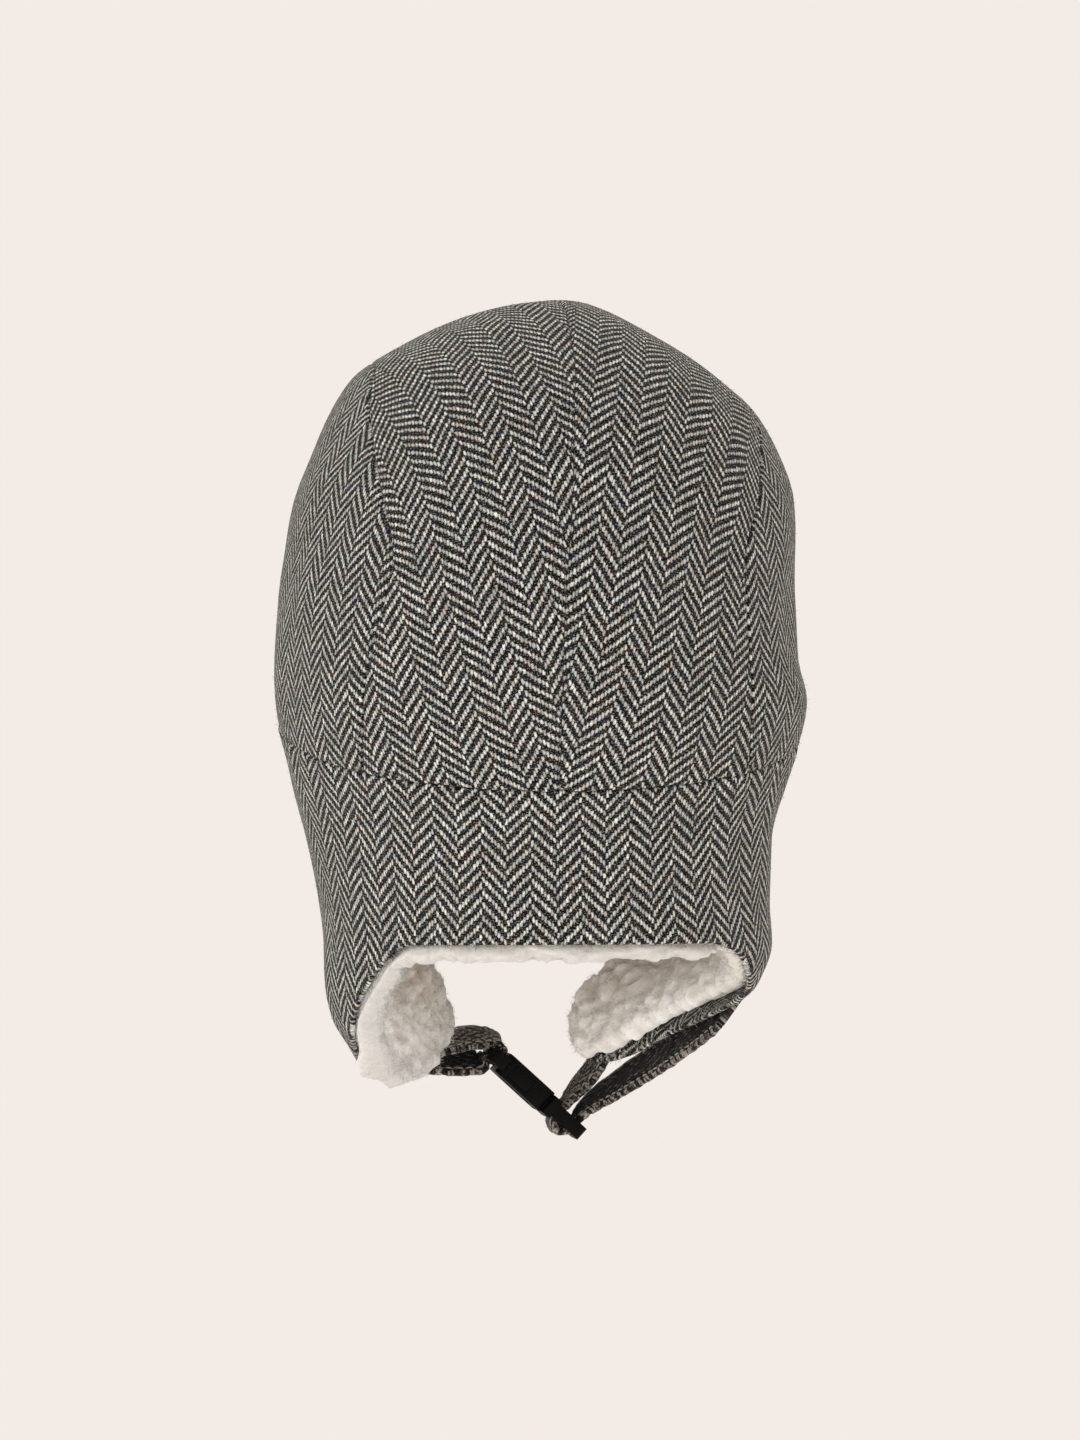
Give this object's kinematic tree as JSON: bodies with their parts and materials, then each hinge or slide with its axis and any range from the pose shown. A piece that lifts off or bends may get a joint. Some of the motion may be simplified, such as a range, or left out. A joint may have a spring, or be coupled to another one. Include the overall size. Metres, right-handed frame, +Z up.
{
  "type": "aviator hat",
  "caption": "Lined herringbone tweed aviator hat with a panelled crown, wrap-around ear flaps, fleece lining and a buckled chin strap, in its worn form.",
  "frame": {"origin": "inside of the lining at the top of the crown, where the head bears; everything hangs below it", "axes": "+Z up along the wearer's head, -Y towards the face, +X towards the wearer's left"},
  "size_m": [0.1825, 0.2145, 0.292],
  "materials": {
    "tweed": "grey herringbone wool tweed, matt and slightly hairy",
    "fleece": "off-white curly pile fleece",
    "strap_tweed": "doubled herringbone tweed, in the flaps' shade",
    "plastic": "black moulded plastic with a soft sheen"
  },
  "bodies": {
    "root": {"crown_center_left": "tweed", "crown_center_right": "tweed", "crown_side_left": "tweed", "crown_side_right": "tweed", "earflap_shell": "tweed", "crown_lining_left": "fleece", "crown_lining_right": "fleece", "nape_lining": "fleece", "flap_lining_left": "fleece", "flap_lining_right": "fleece", "strap_left": "strap_tweed", "strap_right": "strap_tweed", "buckle_socket": "plastic", "buckle_plug": "plastic"}
  },
  "joints": []
}
